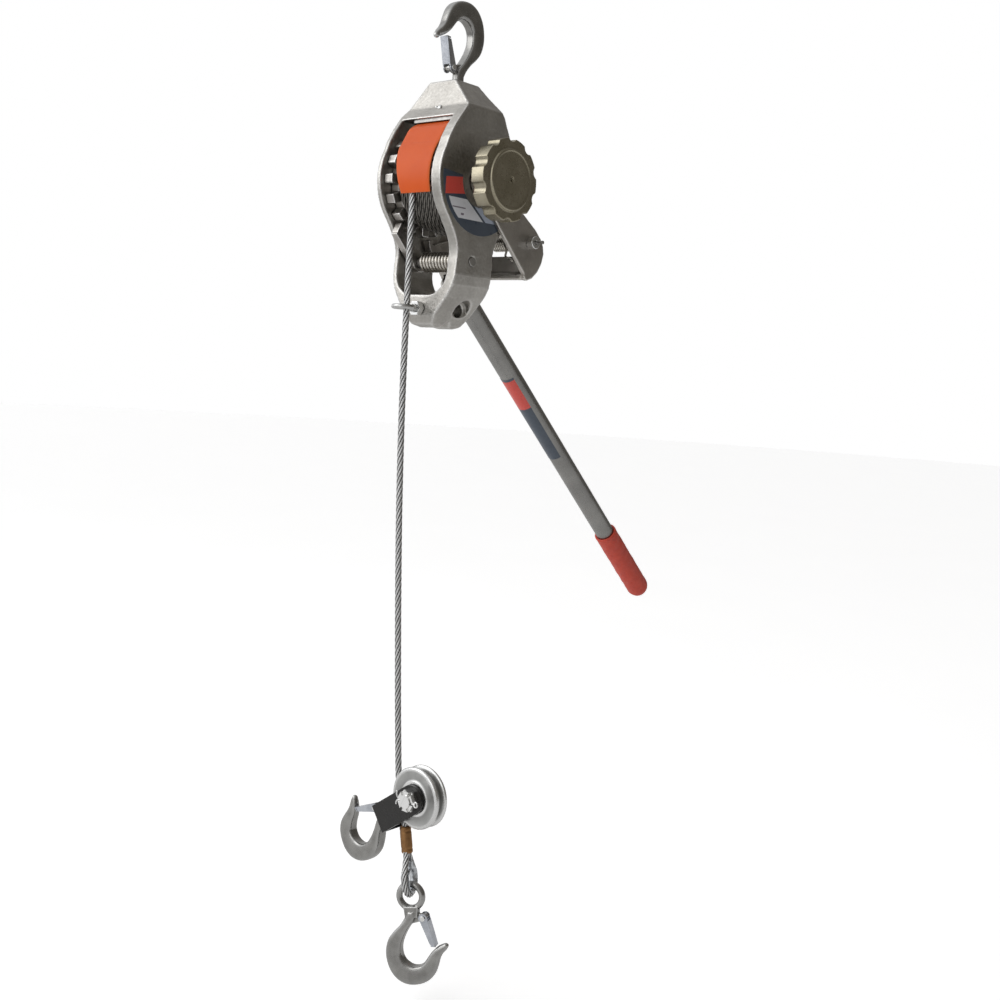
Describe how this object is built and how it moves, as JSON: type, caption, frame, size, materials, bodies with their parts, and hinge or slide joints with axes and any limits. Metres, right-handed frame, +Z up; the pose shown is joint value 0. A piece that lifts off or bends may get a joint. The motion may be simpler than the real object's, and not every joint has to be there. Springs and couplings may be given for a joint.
{
  "type": "wire rope puller",
  "caption": "Hand ratchet wire rope puller with a top swivel hook, cable drum, handwheel, swing handle, running snatch block and end hook.",
  "frame": {"origin": "bearing point inside the bowl of the top hook, from which the puller hangs", "axes": "+Z up along the top hook's shank, +X along the axle towards the handwheel, -Y towards the rope side"},
  "size_m": [0.149, 0.509, 0.9469],
  "materials": {
    "forged_hook": "zinc-plated forging, dark and slightly glossy",
    "zinc_latch": "bright zinc plate",
    "bright_steel": "zinc plate",
    "spring_steel": "bright plated wire",
    "cast_aluminium": "rough casting with tumbled edges",
    "bronze": "oiled bearing bronze",
    "guard_orange": "satin orange paint",
    "bracket_steel": "dull plated steel",
    "decal_slate": "printed vinyl label in slate, red and pale grey, no text",
    "drum_cast": "machined casting",
    "ratchet_cast": "cast steel, tumbled",
    "knob_chromate": "yellow-bronze chromate",
    "rope_galvanised": "galvanised strands",
    "yoke_cast": "warm grey casting",
    "tube_satin": "satin plated tube",
    "grip_vinyl": "dipped red vinyl, pebbled",
    "ferrule_copper": "copper sleeve, browned",
    "thimble_galvanised": "hot-dip zinc",
    "sheave_cast": "fine cast surface",
    "strap_black": "satin black paint"
  },
  "bodies": {
    "top_hook": {"top_hook": "forged_hook", "hook_nut": "bright_steel", "top_latch_pin": "bright_steel", "top_latch_spring": "spring_steel"},
    "top_latch": {"top_latch": "zinc_latch"},
    "frame": {"frame": "cast_aluminium", "thrust_washer": "bright_steel", "bush_left": "bronze", "bush_right": "bronze", "rope_guard": "guard_orange", "guard_bracket": "bracket_steel", "guard_screws": "bright_steel", "eyebolt": "bright_steel", "eyebolt_nut": "bright_steel", "side_label": "decal_slate", "holding_pawl_pin": "bracket_steel", "holding_pawl_spring": "spring_steel", "pawl_spacer": "bracket_steel", "rope_upper": "rope_galvanised", "rope_free": "rope_galvanised"},
    "drum": {"drum_shaft": "bracket_steel", "shaft_ring": "bracket_steel", "drum": "drum_cast", "ratchet_wheel": "ratchet_cast", "ratchet_rivets": "bright_steel", "handwheel": "knob_chromate", "handwheel_screw": "knob_chromate", "rope_on_drum": "rope_galvanised"},
    "holding_pawl": {"holding_pawl": "ratchet_cast"},
    "handle": {"handle_yoke": "yoke_cast", "drive_pawl_pin": "bracket_steel", "drive_pawl_nut": "bright_steel", "drive_pawl_spring": "spring_steel", "drive_pawl_spacer": "bracket_steel", "handle_tube": "tube_satin", "handle_rivets": "bright_steel", "handle_grip": "grip_vinyl", "handle_label": "decal_slate"},
    "drive_pawl": {"drive_pawl": "ratchet_cast"},
    "rope_end": {"ferrule": "ferrule_copper", "rope_eye": "rope_galvanised", "thimble": "thimble_galvanised"},
    "end_hook": {"end_hook": "forged_hook", "end_latch_pin": "bright_steel", "end_latch_spring": "spring_steel"},
    "end_latch": {"end_latch": "zinc_latch"},
    "block_pin": {"block_pin": "bright_steel", "block_nut": "bright_steel", "cotter_pin": "bright_steel"},
    "sheave": {"sheave": "sheave_cast", "sheave_bush": "bronze"},
    "block_strap": {"block_strap": "strap_black"},
    "block_hook": {"block_hook": "forged_hook", "block_hook_collar": "bright_steel", "block_latch_pin": "bright_steel", "block_latch_spring": "spring_steel"},
    "block_latch": {"block_latch": "zinc_latch"}
  },
  "joints": [
    {"name": "frame_swivel", "type": "hinge", "parent": "top_hook", "child": "frame", "pos_m": [0, 0, 0], "axis": [0, 0, 1], "continuous": true},
    {"name": "top_latch_hinge", "type": "hinge", "parent": "top_hook", "child": "top_latch", "pos_m": [0, -0.012, -0.0465], "axis": [-1, 0, 0], "range_deg": [0, 30], "stiffness_Nm_per_rad": 0.03, "springref_deg": -17.19},
    {"name": "drum_turn", "type": "hinge", "parent": "frame", "child": "drum", "pos_m": [0, -0.006, -0.155], "axis": [-1, 0, 0], "range_deg": [0, 247.5]},
    {"name": "rope_lift", "type": "slide", "parent": "frame", "child": "rope_end", "axis": [0, 0, 1], "range_m": [0, 0.202], "deforming": ["rope_free"]},
    {"name": "holding_pawl_hinge", "type": "hinge", "parent": "frame", "child": "holding_pawl", "pos_m": [0, -0.01, -0.23], "axis": [-1, 0, 0], "range_deg": [0, 10]},
    {"name": "handle_swing", "type": "hinge", "parent": "frame", "child": "handle", "pos_m": [0, -0.006, -0.155], "axis": [1, 0, 0], "range_deg": [0, 90]},
    {"name": "drive_pawl_hinge", "type": "hinge", "parent": "handle", "child": "drive_pawl", "pos_m": [0, 0.067, -0.203], "axis": [-1, 0, 0], "range_deg": [0, 7]},
    {"name": "end_hook_swing", "type": "hinge", "parent": "rope_end", "child": "end_hook", "pos_m": [0.0494, -0.0525, -0.84081], "axis": [0.4149, -0.9063, 0.0806], "range_deg": [-30, 30]},
    {"name": "end_latch_hinge", "type": "hinge", "parent": "end_hook", "child": "end_latch", "pos_m": [0.06456, -0.04743, -0.8618], "axis": [-0.4149, 0.9063, -0.0806], "range_deg": [0, 30], "stiffness_Nm_per_rad": 0.03, "springref_deg": -17.19},
    {"name": "block_run", "type": "slide", "parent": "rope_end", "child": "block_pin", "axis": [-0.0885, 0, 0.9961], "range_m": [0, 0.2]},
    {"name": "sheave_spin", "type": "hinge", "parent": "block_pin", "child": "sheave", "pos_m": [0.0544, -0.0525, -0.743], "axis": [0, 1, 0], "continuous": true},
    {"name": "strap_lift", "type": "hinge", "parent": "block_pin", "child": "block_strap", "pos_m": [0.0544, -0.0525, -0.743], "axis": [0, 1, 0], "range_deg": [0, 55]},
    {"name": "block_hook_swivel", "type": "hinge", "parent": "block_strap", "child": "block_hook", "pos_m": [0.01233, -0.0525, -0.77356], "axis": [-0.809, 0, -0.5878], "continuous": true},
    {"name": "block_latch_hinge", "type": "hinge", "parent": "block_hook", "child": "block_latch", "pos_m": [-0.00192, -0.0525, -0.76909], "axis": [0, 1, 0], "range_deg": [0, 30], "stiffness_Nm_per_rad": 0.03, "springref_deg": -17.19}
  ],
  "couplings": [
    {"joint": "rope_lift", "follows": "drum_turn", "m_per_rad": 0.0465}
  ]
}
